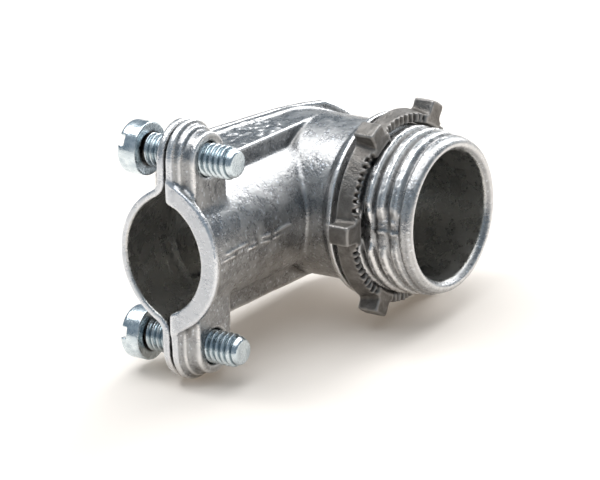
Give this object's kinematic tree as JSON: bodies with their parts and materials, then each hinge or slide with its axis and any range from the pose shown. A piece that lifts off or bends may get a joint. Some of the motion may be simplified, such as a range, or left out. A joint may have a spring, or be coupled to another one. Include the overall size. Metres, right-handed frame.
{
  "type": "right-angle squeeze connector",
  "caption": "Cast 90 degree squeeze connector: threaded nipple with a locknut on one limb, screw-down clamp cover over the other.",
  "frame": {"origin": "bottom centre of the whole fitting's box, level with the underside of the lower ear", "axes": "+X along the nipple and out of its mouth, -Y along the limb and out of the clamp mouth, +Z from the lower screw to the upper one; the casting is symmetric about the plane half way up"},
  "size_m": [0.0296, 0.0447, 0.0326],
  "materials": {
    "cast_zinc": "satin",
    "zinc_plated_steel": "satin",
    "dark_zinc": "satin"
  },
  "bodies": {
    "body": {"elbow_body": "cast_zinc"},
    "cover": {"clamp_cover": "cast_zinc"},
    "upper_screw": {"clamp_screw_upper": "zinc_plated_steel"},
    "lower_screw": {"clamp_screw_lower": "zinc_plated_steel"},
    "nut": {"locknut": "dark_zinc"}
  },
  "joints": [
    {"name": "cover_slide", "type": "slide", "parent": "body", "child": "cover", "axis": [-1, 0, 0], "range_m": [0, 0.008]},
    {"name": "upper_screw_turn", "type": "hinge", "parent": "cover", "child": "upper_screw", "pos_m": [-0.00838, -0.01785, 0.0281], "axis": [-1, 0, 0], "range_deg": [0, 3630]},
    {"name": "lower_screw_turn", "type": "hinge", "parent": "cover", "child": "lower_screw", "pos_m": [-0.00838, -0.01785, 0.0045], "axis": [-1, 0, 0], "range_deg": [0, 3630]},
    {"name": "locknut_slide", "type": "slide", "parent": "body", "child": "nut", "axis": [1, 0, 0], "range_m": [-0.001, 0.009]}
  ],
  "couplings": [
    {"joint": "upper_screw_turn", "follows": "cover_slide", "rad_per_m": 7913.3},
    {"joint": "lower_screw_turn", "follows": "cover_slide", "rad_per_m": 7913.3}
  ]
}
